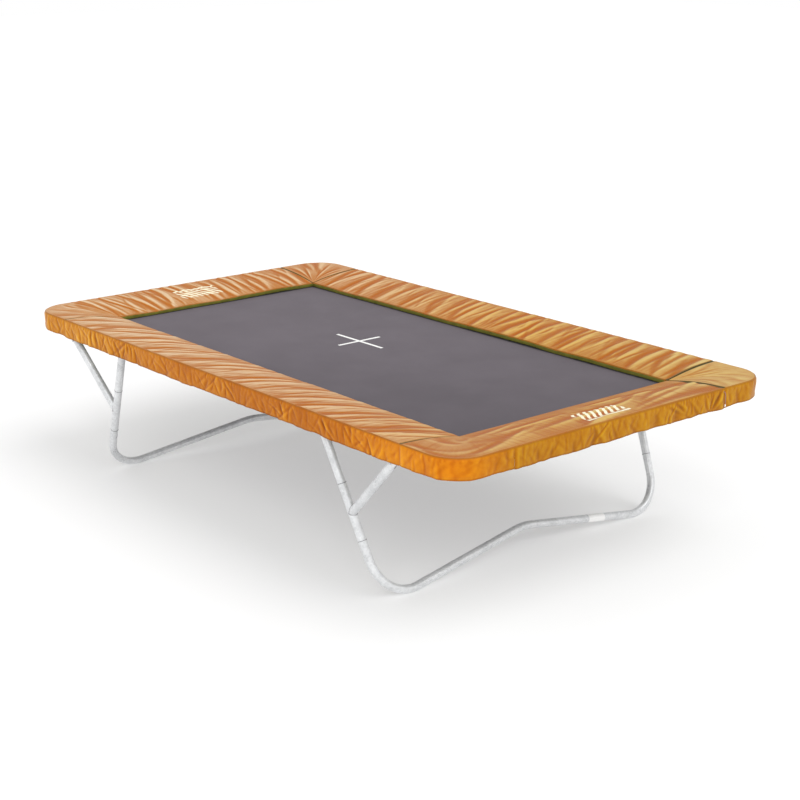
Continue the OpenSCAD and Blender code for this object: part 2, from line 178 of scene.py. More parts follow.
def running_mean(values, window):
    """Mean along the first axis over that many points."""
    half = window // 2
    first, last = [values[:1]] * (half + 1), [values[-1:]] * half
    padded = np.concatenate([*first, values, *last]).cumsum(0)
    return (padded[window:] - padded[:-window]) / window


def finer(grid):
    """The same grid with twice as many steps both ways, smoothly filled in."""
    for axis in (0, 1):
        grid = np.moveaxis(np.asarray(grid, float), axis, 0)
        if len(grid) > 1:
            ends = np.concatenate([2 * grid[:1] - grid[1:2], grid, 2 * grid[-1:] - grid[-2:-1]])
            out = np.empty((2 * len(grid) - 1, *grid.shape[1:]))
            out[::2] = grid
            out[1::2] = (9 * (grid[:-1] + grid[1:]) - ends[:-3] - ends[3:]) / 16
            grid = out
        grid = np.moveaxis(grid, 0, axis)
    return grid


def creases(seed, s, c, low, high, pitch, tilt, sway, middle, reach, width):
    """Creases scattered along s from low to high, each a trough with a ridge beside it. They
    lean by tilt, cross c at middle and fade out reach away from it. middle, reach and width
    are pairs to pick between; tilt is one value or the two at low and high."""
    rng = np.random.default_rng(seed)
    total = np.zeros(np.broadcast(s, c).shape)
    count = round((high - low) / pitch)
    tilt = np.broadcast_to(tilt, 2)
    for k in range(count):
        start = low + (k + rng.uniform(0.1, 0.9)) * pitch
        at_c, half, w = rng.uniform(*middle), rng.uniform(*reach), rng.uniform(*width)
        lean = tilt[0] + (tilt[1] - tilt[0]) * k / count + rng.normal(0, sway)
        bend, depth = rng.normal(0, 0.16), rng.uniform(0.45, 1)
        off = c - at_c
        fade = np.clip(1 - (off / half) ** 2, 0, 1)
        x = (s - start - lean * off - bend * off * off / half)
        x = x / (w * math.sqrt(1 + lean * lean) * (0.35 + 0.65 * fade))
        total += depth * fade * (0.62 * np.exp(-((x - 1.5) ** 2)) - np.exp(-x * x))
    return total


def tube(path, radius, sides, closed=False):
    """Points and quads of a round tube along the path, with flat ends unless it is closed."""
    path = np.asarray(path, float)
    n = len(path)
    heading = np.roll(path, -1, 0) - np.roll(path, 1, 0)
    if not closed:
        heading[0], heading[-1] = path[1] - path[0], path[-1] - path[-2]
    heading /= np.linalg.norm(heading, axis=1)[:, None]
    side = np.zeros_like(path)
    side[0] = np.cross(heading[0], [0.21, 0.34, 0.92])
    for i in range(n):
        s = side[max(i - 1, 0)]
        s = s - heading[i] * (s @ heading[i])
        side[i] = s / np.linalg.norm(s)
    other = np.cross(heading, side)
    angle = np.arange(sides) * 2 * math.pi / sides
    radius = np.broadcast_to(radius, n)[:, None, None]
    rings = path[:, None] + radius * (
        side[:, None] * np.cos(angle)[None, :, None]
        + other[:, None] * np.sin(angle)[None, :, None]
    )
    faces = []
    for i in range(n if closed else n - 1):
        m = (i + 1) % n
        for k in range(sides):
            l = (k + 1) % sides
            faces.append([i * sides + k, i * sides + l, m * sides + l, m * sides + k])
    if not closed:
        faces.append(list(range(sides))[::-1])
        faces.append([(n - 1) * sides + k for k in range(sides)])
    return rings.reshape(-1, 3), faces


def circle(centre, axis, radius, count):
    """Points round a circle about that axis."""
    side = axis.orthogonal().normalized()
    other = axis.cross(side)
    angles = [2 * math.pi * k / count for k in range(count)]
    return [centre + (side * math.cos(a) + other * math.sin(a)) * radius for a in angles]


def joined(parts):
    """One list of points and one of faces from several."""
    points, faces, n = [], [], 0
    for p, f in parts:
        points.append(p)
        faces += [[n + k for k in face] for face in f]
        n += len(p)
    return np.concatenate(points), faces


# --- Materials ---


class Nodes:
    """A material's node tree, built with short calls."""

    def __init__(self, name):
        self.material = bpy.data.materials.new(name)
        self.material.use_nodes = True
        self.tree = self.material.node_tree
        self.shader = self.tree.nodes["Principled BSDF"]

    def add(self, kind, inputs=(), **settings):
        node = self.tree.nodes.new("ShaderNode" + kind)
        for key, value in settings.items():
            setattr(node, key, value)
        for key, value in dict(inputs).items():
            self.put(node.inputs[key], value)
        return node

    def put(self, socket, value):
        if isinstance(value, bpy.types.NodeSocket):
            self.tree.links.new(value, socket)
        else:
            socket.default_value = value

    def set(self, **inputs):
        for key, value in inputs.items():
            self.put(self.shader.inputs[key.replace("_", " ")], value)

    def place(self):
        """The point's place in the object's own frame, in metres."""
        return self.add("TexCoord").outputs["Object"]

    def uv(self, scale):
        coords = self.add("TexCoord").outputs["UV"]
        return self.add("Mapping", {"Vector": coords, "Scale": scale}).outputs["Vector"]

    def noise(self, vector, scale, detail=4.0, roughness=0.55):
        inputs = {"Vector": vector, "Scale": scale, "Detail": detail, "Roughness": roughness}
        return self.add("TexNoise", inputs).outputs["Fac"]

    def value(self, name):
        """The mesh attribute of that name."""
        return self.add("Attribute", attribute_name=name).outputs["Fac"]

    def ramp(self, fac, stops):
        node = self.add("ValToRGB", {"Fac": fac})
        points = node.color_ramp.elements
        while len(points) < len(stops):
            points.new(0.5)
        for point, (at, colour) in zip(points, stops):
            point.position = at
            point.color = (*colour, 1)
        return node.outputs["Color"]

    def level(self, fac, low, high):
        """fac from 0 to 1 taken to low to high."""
        inputs = {"Value": fac, "To Min": low, "To Max": high}
        return self.add("MapRange", inputs).outputs["Result"]

    def part(self, value, low, high):
        """Where a value lies between low and high, from 0 to 1."""
        inputs = {"Value": value, "From Min": low, "From Max": high}
        return self.add("MapRange", inputs).outputs["Result"]

    def math(self, operation, a, b=0.0):
        node = self.add("Math", operation=operation)
        self.put(node.inputs[0], a)
        self.put(node.inputs[1], b)
        return node.outputs[0]

    def mix(self, fac, a, b, blend="MIX"):
        node = self.add("Mix", data_type="RGBA", blend_type=blend)
        self.put(node.inputs["Factor"], fac)
        for socket, value in ((node.inputs[6], a), (node.inputs[7], b)):
            self.put(socket, (*value, 1) if isinstance(value, tuple) else value)
        return node.outputs[2]

    def bump(self, *layers):
        """Bump from (height, strength, distance) layers, each laid over the last."""
        normal = None
        for height, strength, distance in layers:
            inputs = {"Height": height, "Strength": strength, "Distance": distance}
            if normal is not None:
                inputs["Normal"] = normal
            normal = self.add("Bump", inputs).outputs["Normal"]
        self.set(Normal=normal)

    def weave(self, vector, pitch):
        """Height of a plain weave whose threads are pitch apart in the vector's X and Y."""
        wave_length = 0.314  # of a wave texture at scale 1
        inputs = {"Vector": vector, "Scale": wave_length / pitch}
        bands = [
            self.add("TexWave", inputs, bands_direction=axis).outputs["Fac"] for axis in ("X", "Y")
        ]
        return self.math("MAXIMUM", *bands)


def galvanised():
    """Hot-dip zinc: pale grey, with faint spangles and a cloudy surface."""
    n = Nodes("galvanised tube")
    at = n.place()
    spangle = n.add("TexVoronoi", {"Vector": at, "Scale": 95.0}, feature="F1")
    cloud = n.noise(at, 9.0, 6.0)
    grain = n.noise(at, 160.0, 3.0)
    tone = n.math(
        "ADD", n.math("MULTIPLY", spangle.outputs["Color"], 0.25), n.math("MULTIPLY", cloud, 0.8)
    )
    greys = [(0.1, (0.42, 0.43, 0.44)), (0.5, (0.65, 0.66, 0.67)), (0.9, (0.86, 0.87, 0.88))]
    n.set(
        Base_Color=n.ramp(tone, greys),
        Metallic=0.3,
        Roughness=n.level(cloud, 0.2, 0.42),
    )
    n.bump((grain, 0.25, 0.0006), (cloud, 0.3, 0.002))
    return n.material


def zinc(name, dark, light, roughness=0.32):
    """Plain metal, from dark to light in small clouds."""
    n = Nodes(name)
    cloud = n.noise(n.place(), 60.0, 5.0)
    n.set(
        Base_Color=n.ramp(cloud, [(0.3, dark), (0.7, light)]),
        Metallic=0.9,
        Roughness=n.level(cloud, roughness - 0.07, roughness + 0.12),
    )
    n.bump((n.noise(n.place(), 420.0, 2.0), 0.2, 0.0003))
    return n.material


def vinyl(name, trough, middle, crest, shade, specular, roughness, tints):
    """Coated fabric with a fine cloth grain. Its folds carry painted light: a painted highlight on
    their crests and painted shade in their troughs. Seams take the shade colour, which also paints
    shade in the pads' joints and under their edges, and the tints are laid from the near left corner
    to the far right one."""
    n = Nodes(name)
    at = n.place()
    uv = n.uv((1, 1, 1))
    # Painted light: this value paints the crests of folds pale as a highlight and their troughs dark
    # as shade
    painted_fold_light = n.value("painted_fold_light")
    cloud = n.noise(at, 5.0, 5.0)
    fleck = n.noise(at, 38.0, 4.0)
    tone = n.math(
        "ADD", n.math("MULTIPLY", painted_fold_light, 0.72),
        n.math("ADD", n.math("MULTIPLY", cloud, 0.3), n.math("MULTIPLY", fleck, 0.16)),
    )
    colour = n.ramp(tone, [(0.3, trough), (0.52, middle), (0.8, crest)])
    axes = n.add("SeparateXYZ", {"Vector": at})
    along = n.math(
        "ADD", n.math("MULTIPLY", axes.outputs["X"], 0.65),
        n.math("MULTIPLY", axes.outputs["Y"], 0.76),
    )
    colour = n.mix(1.0, colour, n.ramp(n.part(along, -1.9, 1.9), tints), "MULTIPLY")
    # Seams take the shade colour, and so do the painted shade of the pads' joints and the painted
    # shadow on the skirts' tops
    colour = n.mix(n.value("seam"), colour, shade)
    colour = n.mix(n.value("print"), colour, (0.86, 0.83, 0.62))
    dashes = n.add("TexWave", {"Vector": uv, "Scale": 45.0}, bands_direction="X")
    stitch = n.math("MULTIPLY", n.value("stitch"), dashes.outputs["Fac"])
    colour = n.mix(stitch, colour, (0.42, 0.17, 0.03))
    n.set(
        Base_Color=colour,
        Roughness=n.level(fleck, roughness - 0.06, roughness + 0.1),
        IOR=1.5,
        Specular_IOR_Level=specular,
    )
    grain = n.weave(uv, 0.0009)
    crinkle = n.noise(at, 55.0, 5.0, 0.6)
    n.bump((crinkle, 0.35, 0.003), (grain, 0.25, 0.00025), (stitch, 0.6, 0.0006))
    return n.material


def fabric(
    name, dark, light, pitch, roughness=0.75, specular=0.3, strength=0.5, scale=14.0, near_corner_factor=1.0
):
    """Plain woven fabric, seen from above: its threads follow the object's X and Y. Towards the near
    right corner its colour gets darker, down to the given factor times itself."""
    n = Nodes(name)
    at = n.place()
    cloud = n.noise(at, scale, 6.0, 0.6)
    thread = n.weave(at, pitch)
    tone = n.math("ADD", n.math("MULTIPLY", cloud, 0.75), n.math("MULTIPLY", thread, 0.25))
    colour = n.ramp(tone, [(0.3, dark), (0.7, light)])
    # A gradient of the colour by place: darker towards the near right corner
    if near_corner_factor != 1:
        axes = n.add("SeparateXYZ", {"Vector": at})
        near = n.math("SUBTRACT", axes.outputs["X"], axes.outputs["Y"])
        near_corner_ramp = n.ramp(n.part(near, -0.3, 2.0), [(0.0, (1.0,) * 3), (1.0, (near_corner_factor,) * 3)])
        colour = n.mix(1.0, colour, near_corner_ramp, "MULTIPLY")
    n.set(Base_Color=colour, Roughness=roughness, Specular_IOR_Level=specular)
    n.bump((thread, strength, pitch * 0.35))
    return n.material


GALVANISED = galvanised()
ZINC = zinc("zinc steel", (0.42, 0.43, 0.45), (0.66, 0.67, 0.69))
SPRING = zinc("spring steel", (0.34, 0.35, 0.37), (0.60, 0.61, 0.63), 0.28)
WELD = zinc("weld bead", (0.34, 0.34, 0.35), (0.62, 0.62, 0.63), 0.45)
# Painted shade: near-black metal for the rings that stand for the shadow in the gaps where the leg
# tubes meet
JOINT_SHADE = zinc("tube joint shade", (0.02, 0.02, 0.02), (0.06, 0.06, 0.06), 0.6)
COVER = vinyl(
    "pad cover", trough=(0.41, 0.120, 0.006), middle=(0.45, 0.175, 0.034),
    crest=(0.65, 0.455, 0.26), shade=(0.045, 0.038, 0.005), specular=0.18, roughness=0.45,
    tints=[
        (0.0, (1.0, 1.05, 1.15)), (0.45, (0.94, 0.88, 0.82)), (0.72, (0.90, 0.79, 0.32)),
        (0.88, (0.89, 0.84, 0.44)), (1.0, (0.94, 1.0, 0.62)),
    ],
)
SKIRT = vinyl(
    "pad skirt", trough=(0.27, 0.062, 0.0015), middle=(0.50, 0.140, 0.002),
    crest=(0.76, 0.31, 0.03), shade=(0.08, 0.02, 0.0005), specular=0.12, roughness=0.34,
    tints=[
        (0.06, (1.02, 1.28, 1.8)), (0.2, (0.92, 0.97, 0.9)), (0.45, (0.87, 0.84, 0.6)),
        (0.53, (1.1, 1.1, 0.3)), (0.6, (1.08, 1.02, 0.2)), (0.68, (0.72, 0.92, 0.32)),
    ],
)
BACKING = fabric("pad backing", (0.085, 0.085, 0.008), (0.17, 0.165, 0.02), 0.0012)
MAT = fabric(
    "woven mat", (0.117, 0.103, 0.116), (0.144, 0.127, 0.144), 0.0016, roughness=0.7,
    specular=0.12, strength=0.4, scale=3.0, near_corner_factor=0.76,
)
WEBBING = fabric("webbing", (0.02, 0.02, 0.022), (0.06, 0.06, 0.062), 0.0022, 0.7)
TAPE = fabric("mark tape", (0.78, 0.78, 0.76), (0.92, 0.92, 0.90), 0.0010, 0.6)
ELASTIC = fabric("elastic", (0.015, 0.015, 0.016), (0.05, 0.05, 0.05), 0.0016)
LABEL = fabric("blank label", (0.80, 0.80, 0.79), (0.90, 0.90, 0.89), 0.0006, 0.35, 0.5, 0.1)
CORD = fabric("cord", (0.20, 0.10, 0.10), (0.36, 0.20, 0.19), 0.0012, 0.6)
CORD_TIP = fabric("cord tip", (0.82, 0.82, 0.80), (0.92, 0.92, 0.90), 0.0008, 0.35, 0.5, 0.1)

FINISHES = {
    "corner_tube": GALVANISED, "side_rail": GALVANISED, "end_rail": GALVANISED,
    "leg_": GALVANISED, "base_frame": GALVANISED, "blank_label": LABEL,
    "strut_": ZINC, "spring_pins": ZINC, "mat": MAT, "mat_webbing": WEBBING,
    "centre_mark": TAPE, "pad_ties": ELASTIC, "tie_cord_tip": CORD_TIP,
}
# A node takes the finish of the longest prefix that its name has
for name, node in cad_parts.items():
    prefixes = [p for p in FINISHES if name.startswith(p)]
    if prefixes:
        node.data.materials.clear()
        node.data.materials.append(FINISHES[max(prefixes, key=len)])


# --- Pads ---


def corner_name(sx, sy):
    """Which corner lies on those sides of the origin."""
    return ("back" if sy > 0 else "front") + "_" + ("right" if sx > 0 else "left")


# How deep the fanned creases are on the corner pads that have them
FAN_DEPTH = {"corner_front_left": 0.5, "corner_back_left": 0.8, "corner_back_right": 0.25}


def folds(seed, s, u, low, high, tilt, fine=1.0):
    """Long folds across a pad, and shorter and narrower ones half as deep between them; fine
    scales their pitch and width."""
    total = 0
    # Each layer: pitch, sway, reach as a share of the pad's width, width and depth
    for k, (pitch, sway, reach, width, depth) in enumerate([
        (0.092, 0.09, (0.6, 1.1), (0.016, 0.027), 1),
        (0.058, 0.14, (0.2, 0.55), (0.009, 0.015), 0.5),
    ]):
        total += depth * creases(
            seed + 20 * k, s, u, low, high, pitch=fine * pitch, tilt=tilt, sway=sway,
            middle=(0.15 * BAND, 0.85 * BAND), reach=[BAND * r for r in reach],
            width=[fine * w for w in width],
        )
    return total


def lengthwise(strip, u):
    """Creases along the right end pad and on round the near corner, where they are fainter,
    with none right at the opening's corner."""
    past = strip + OPEN_Y
    fade = smooth(0.04, 0.16, u + smooth(0, 0.1, past))
    fade = fade * (0.42 + 0.58 * smooth(-0.05, 0.3, past))
    return fade * creases(
        6, u, strip, 0.05, BAND + 0.01, pitch=0.013, tilt=(-0.06, -0.16), sway=0.10,
        middle=(-1.35, 0.85), reach=(0.14, 0.36), width=(0.013, 0.027),
    )


class Pad:
    """One pad and its skirt. s runs along it and u outwards from the bed's opening; sx and sy
    say on which side of the origin it lies, and are 0 where it lies on both."""

    def __init__(self, kind, sx, sy, seed):
        self.kind, self.sx, self.sy, self.seed = kind, sx, sy, seed
        sides = {"side": "back" if sy > 0 else "front", "end": "right" if sx > 0 else "left"}
        self.name = kind + "_" + sides.get(kind, corner_name(sx, sy))
        if kind == "corner":
            self.length = 2 * CORNER_IN + PAD_R * math.pi / 2
            self.inner = 0.004
        else:
            self.length = 2 * (OPEN_X if kind == "side" else OPEN_Y) - 2 * GAP
            self.inner = 0.0
        self.cells = round(self.length / PAD_CELL)
        # The two front corner pads are sewn on to the end pads, at the low end of s of both
        self.sewn = kind == "end" or (kind == "corner" and sy < 0)
        high = self.length / 2 - (GAP / 2 if kind == "corner" else 0)
        low = -high
        if self.sewn:
            low = -self.length / 2 - (0 if kind == "corner" else GAP)
        self.s = np.linspace(low, high, self.cells + 1)[:, None]
        self.u = np.linspace(self.inner, BAND, PAD_COLUMNS + 1)[None, :]
        # Whether a face that goes round from +s to +u looks inwards or down
        self.flip = {"side": sy < 0, "end": sx > 0, "corner": sx * sy > 0}[kind]

    def node(self, part):
        """The name of the CAD node of this pad's cover or skirt."""
        return self.name.replace(self.kind, self.kind + "_" + part, 1)

    def place(self, s, u, z, stretch=1.0):
        """The point at s, u and height z, with the pad stretched by that much along s."""
        s, u, z = np.broadcast_arrays(s, u, z)
        s = s * stretch
        if self.kind == "side":
            return np.stack([s, self.sy * (OPEN_Y + u), z], -1)
        if self.kind == "end":
            return np.stack([self.sx * (OPEN_X + u), s, z], -1)
        x, y = self.corner_plan(s, u)
        return np.stack([self.sx * (OPEN_X + x), self.sy * (OPEN_Y + y), z], -1)

    def corner_plan(self, s, u):
        """A corner pad's point in plan, from the opening's corner: u runs out to the outline,
        two straight parts and a round one between them, and s runs round it."""
        arc = PAD_R * math.pi / 4
        turn = math.pi / 4 + np.clip(s, -arc, arc) / PAD_R
        past = np.abs(s) - arc
        x = CORNER_IN + PAD_R * np.cos(turn) - np.where(s > arc, past, 0)
        y = CORNER_IN + PAD_R * np.sin(turn) - np.where(s < -arc, past, 0)
        inward, outward = np.minimum(u, BAND) / BAND, np.maximum(u - BAND, 0)
        return x * inward + np.cos(turn) * outward, y * inward + np.sin(turn) * outward

    def across(self, s, u):
        """How far across the pad's section a point lies, from 0 to 1. On a corner pad lines
        at one such place are rounded squares."""
        if self.kind != "corner":
            return np.broadcast_to(u / BAND, np.broadcast(s, u).shape)
        x, y = self.corner_plan(s, u)
        x, y = np.maximum(x, 0), np.maximum(y, 0)
        return np.clip((x**7 + y**7) ** (1 / 7) / BAND, 0, 1)

    def top_z(self, s, u):
        """The top falls from the outer edge to the inner one and is crowned between them."""
        f = self.across(s, u)
        return TOP_Z - INNER_DROP * (1 - f) + CROWN * np.sin(math.pi * f)

    def bottom_z(self, s, u):
        """The underside rises from the mat's edge to the rail and lies nearly flat over it."""
        outer, inner = TOP_Z - OUTER_T, TOP_Z - INNER_DROP - INNER_T
        return np.interp(self.across(s, u), [0, 0.845, 1], [inner, outer - 0.002, outer])

    def from_end(self, s):
        """How far s is from the nearest end of the pad that is not sewn on."""
        high = self.length / 2 - s
        return high if self.sewn else np.minimum(high, s + self.length / 2)

    def wrinkles(self, s, u):
        """The top's creases, each up to 1 deep. They run across the side pads and the left end,
        along the right end and the corner sewn to it, and fan out on the other corners."""
        if self.kind == "side":
            lean = -0.5 if self.sy < 0 else -0.15
            return folds(self.seed, s, u, -self.length / 2, self.length / 2, lean)
        # An end pad and the corner pad sewn to it share one strip, which goes on past -OPEN_Y
        away = s + self.length / 2
        strip = s if self.kind == "end" else -OPEN_Y - away
        if self.sewn and self.sx > 0:
            return lengthwise(strip, u)
        along = 0
        if self.sewn:
            along = folds(5, strip, u, -OPEN_Y - 0.3, OPEN_Y, (-0.15, 0.08), fine=0.75)
        if self.kind == "end":
            return along
        fan = creases(
            self.seed, s / (0.45 + 0.55 * u / BAND), u, -0.42, 0.42, pitch=0.1, tilt=0.0,
            sway=0.35, middle=(0.12, 0.33), reach=(0.08, 0.18), width=(0.018, 0.034),
        )
        blend = smooth(0.0, 0.22, away) if self.sewn else 1
        return along * (1 - blend) + FAN_DEPTH[self.name] * blend * fan

    def pleats(self, s, v):
        """Folds of the skirt, v below its seam: small pleats, slanting creases that cross
        below them, and a slow swell."""
        half = self.length / 2
        patch = smooth(-0.3, 0.5, noise(self.seed + 59, s, v * 0, 0.16, 1))
        small = creases(
            self.seed + 60, s, v, -half, half, pitch=0.012, tilt=0.0, sway=0.3,
            middle=(0.004, 0.014), reach=(0.008, 0.026), width=(0.0028, 0.0055),
        )
        down = creases(
            self.seed + 61, s, v, -half, half, pitch=0.034, tilt=0.0, sway=0.8,
            middle=(0.03, 0.085), reach=(0.03, 0.075), width=(0.005, 0.012),
        )
        swell = noise(self.seed + 62, s, v, 0.07, 0.08)
        loose = 0.6 if self.kind == "corner" else 1
        return (
            0.0021 * small * (0.25 + 0.75 * patch) * loose
            + 0.0031 * down * (0.35 + 0.65 * patch) * loose
            + 0.0030 * swell * smooth(0.004, 0.05, v)
        )

    def edge_wave(self, s):
        """How far the pad's inner edge strays to either side of straight, from -1 to 1."""
        if self.kind == "corner":
            return s * 0
        ends = smooth(0, 0.2, self.length / 2 - np.abs(s))
        return noise(self.seed + 80, s, s * 0, 0.23, 1) * ends


# The seed that each pad draws from goes up by one, from 3
PADS = [
    Pad(*row, seed)
    for seed, row in enumerate([
        ("side", 0, -1), ("side", 0, 1), ("end", -1, 0), ("end", 1, 0),
        ("corner", -1, -1), ("corner", 1, -1), ("corner", -1, 1), ("corner", 1, 1),
    ], start=3)
]


def pad_top(pad, stretch=1.0):
    """Points of a pad's top, with its creases fading out at its edges."""
    fade = 0.3 + 0.7 * smooth(0, 0.025, pad.u) * smooth(0, 0.02, BAND - pad.u)
    fade = fade * smooth(0, 0.02, pad.from_end(pad.s))
    z = pad.top_z(pad.s, pad.u) + TOP_FOLDS * fade * pad.wrinkles(pad.s, pad.u)
    return pad.place(pad.s, pad.u, z, stretch)


def skirt_heights(pad, s, v):
    """Heights of the skirt's points: the hem rises and falls a little."""
    slow = noise(pad.seed + 70, s, v * 0, 0.11, 1)
    quick = noise(pad.seed + 71, s, v * 0, 0.035, 1)
    wave = 0.0035 * slow + 0.0015 * quick
    return SEAM_Z - v + wave * v / (SEAM_Z - HEM_Z)


def skirt_places(pad):
    """s and v of the skirt's points; neighbouring skirts meet."""
    half = pad.length / 2 + (0 if pad.kind == "corner" else GAP) - 0.0002
    v = np.linspace(0, SEAM_Z - HEM_Z, SKIRT_ROWS + 1)
    return np.linspace(-half, half, pad.cells + 1)[:, None], v[None, :]


def skirt_give(pad, s, v):
    """How freely a skirt's point moves: not at the seam, and little where two skirts meet."""
    return smooth(0, 0.008, v), 0.2 + 0.8 * smooth(0, 0.018, pad.length / 2 - np.abs(s))


def skirt_grid(pad, amount, stretch=1.0):
    """Points of a skirt with that much of its folds; with 0 it hangs straight down."""
    s, v = skirt_places(pad)
    below, between = skirt_give(pad, s, v)
    u = SKIRT_U + amount * (0.004 + pad.pleats(s, v)) * below * between
    return pad.place(s, u, skirt_heights(pad, s, v), stretch)


def settle(sheets, frames):
    """Runs every sheet as one cloth. Each starts longer than its place and is pushed in at its
    held edges, so that it buckles into folds. A sheet is (longer, place, held, flip): grids of
    points and of how firmly each is held, and whether its faces have to be turned over."""
    longer = np.concatenate([a.reshape(-1, 3) for a, _, _, _ in sheets])
    place = np.concatenate([b.reshape(-1, 3) for _, b, _, _ in sheets])
    held = np.concatenate([h.ravel() for _, _, h, _ in sheets])
    faces, n = [], 0
    for a, _, _, flip in sheets:
        quads = grid_faces(a.shape[0], a.shape[1], n)
        faces += (quads[:, ::-1] if flip else quads).tolist()
        n += a.shape[0] * a.shape[1]
    cloth = mesh_object("settling", longer, faces, [])
    cloth.shape_key_add(name="longer")
    pushed = cloth.shape_key_add(name="pushed")
    pushed.data.foreach_set("co", place.ravel())
    pins = cloth.vertex_groups.new(name="held")
    for k in np.flatnonzero(held):
        pins.add([int(k)], float(held[k]), "REPLACE")
    modifier = cloth.modifiers.new("Cloth", "CLOTH")
    settings = modifier.settings
    settings.quality = 5
    settings.mass = 0.3
    settings.air_damping = 3
    settings.tension_stiffness = settings.compression_stiffness = 15
    settings.shear_stiffness = 5
    settings.bending_stiffness = 0.1
    settings.vertex_group_mass = "held"
    settings.effector_weights.gravity = 0
    settings.use_pressure = True
    settings.uniform_pressure_force = 2.0
    modifier.point_cache.frame_start, modifier.point_cache.frame_end = 1, frames
    for value, f in ((0.0, 1), (1.0, round(0.6 * frames))):
        pushed.value = value
        pushed.keyframe_insert("value", frame=f)
    for f in range(1, frames + 1):
        bpy.context.scene.frame_set(f)
    shown = cloth.evaluated_get(bpy.context.evaluated_depsgraph_get())
    found = np.zeros(len(longer) * 3)
    shown.data.vertices.foreach_get("co", found)
    cloth.data.shape_keys.animation_data_clear()
    bpy.data.objects.remove(cloth)
    bpy.context.scene.frame_set(1)
    found, out, n = found.reshape(-1, 3), [], 0
    for a, _, _, _ in sheets:
        size = a.shape[0] * a.shape[1]
        out.append(found[n : n + size].reshape(a.shape))
        n += size
    return out


def edge_hold(grid):
    """1 at the edges of a grid of points and 0 inside."""
    held = np.zeros(grid.shape[:2])
    held[:, 0] = held[:, -1] = held[0] = held[-1] = 1
    return held


def settled_pads():
    """The top and the skirt of every pad, folded."""
    starts = [pad_top(p) for p in PADS] + [skirt_grid(p, SKIRT_FOLDS) for p in PADS]
    longer = [pad_top(p, TOP_SLACK) for p in PADS]
    longer += [skirt_grid(p, SKIRT_FOLDS, SKIRT_SLACK) for p in PADS]
    flips = [p.flip for p in PADS] * 2
    done = settle(
        [(a, b, edge_hold(b), flip) for a, b, flip in zip(longer, starts, flips)], SETTLE_FRAMES
    )
    # The foam takes out the cloth's slow rise and fall along a pad and softens its folds
    share = [{"side": 0.35, "end": 0.25, "corner": 0.15}[p.kind] for p in PADS]
    share += [0.27] * len(PADS)
    for k, start in enumerate(starts):
        moved = done[k] - start
        if k < len(PADS):
            moved -= 0.75 * running_mean(moved, 17)
        done[k] = start + share[k] * moved
    return done[: len(PADS)], done[len(PADS) :]


def motif(pad, s, u):
    """Where a generic mark is printed on an end pad: a block of slanting bars over a rule."""
    if pad.kind != "end":
        return np.zeros(np.broadcast(s, u).shape)
    centre = (-0.035, 0.215) if pad.sx > 0 else (-0.06, 0.14)
    half_length, half_width, pitch, soft = 0.142, 0.052, 0.038, 0.003
    a, b = s - centre[0], u - centre[1]
    bars = np.cos(2 * math.pi * (a + 0.6 * b) / pitch)
    inside = np.minimum(half_length - np.abs(a), half_width - np.abs(b))
    block = np.minimum(smooth(-0.1, 0.25, bars), smooth(-soft, soft, inside))
    rule = smooth(-soft, soft, 0.008 - np.abs(b - 0.071))
    rule = rule * smooth(-soft, soft, half_length - np.abs(a))
    return np.clip(np.maximum(block, rule), 0, 1)


def pad_loops(pad, s, u, lift, strayed):
    """The pad's sections, each a closed loop: over the top, down the outer side, back
    underneath and up the inner side. Also at which point of a loop the backing begins."""
    # The last columns make room for the rounded rim
    reach = u.copy()
    reach[:, -1] = BAND - RIM_R
    reach[:, -2] -= 0.0015
    sway = pad.edge_wave(s)
    wave = sway * (1 - smooth(0, 0.16, u))
    drop = 0.0025 * (1 - smooth(0, 0.012, pad.from_end(s)))
    height = pad.top_z(s, reach) + lift + EDGE_SWAY * wave - drop
    top = pad.place(s, reach + 0.004 * wave, height) + strayed * [1, 1, 0]
    edge, start = top[:, -1:, 2], top[:, :1, 2]
    rim = [
        pad.place(s, BAND - RIM_R * (1 - math.sin(a)), edge - RIM_R * (1 - math.cos(a)))
        for a in [math.radians(a) for a in (30, 60, 90)]
    ]
    low, edge = pad.bottom_z(s, np.array([[BAND]])), edge - RIM_R
    side = [pad.place(s, BAND, edge + (low - edge) * k) for k in (0.5, 0.9)]
    # The underside lies just above the mat's edge, so it only strays upwards
    under_u = np.array([[1.0, 0.9, 0.75, 0.5, 0.25, 0.0]]) * (BAND - 0.002 - pad.inner) + pad.inner
    raised = EDGE_SWAY * np.maximum(sway, 0) * (1 - smooth(0, 0.16, under_u))
    under = pad.place(s, under_u, pad.bottom_z(s, under_u) + raised)
    # The inner side bulges over the mat, except at a corner
    bow = 0.002 if pad.kind != "corner" else 0.0
    inner_u = pad.inner + 0.004 * sway
    inner_low = under[:, -1:, 2]
    inside = [
        pad.place(s, inner_u - bow * math.sin(math.pi * k), inner_low + (start - inner_low) * k)
        for k in (0.25, 0.5, 0.74)
    ]
    under[:, -1:] = pad.place(s, inner_u, inner_low)
    backing = top.shape[1] + len(rim) + 1
    return np.concatenate([top, *rim, *side, under, *inside], 1), backing


# How pale a pad's cover is, from 0 to 1, where it isn't 0.5: the level from which the painted
# highlights and shade of its folds start
PALENESS = {
    "side_front": 0.54, "side_back": 0.49, "end_left": 0.47, "end_right": 0.41,
    "corner_back_right": 0.6,
}


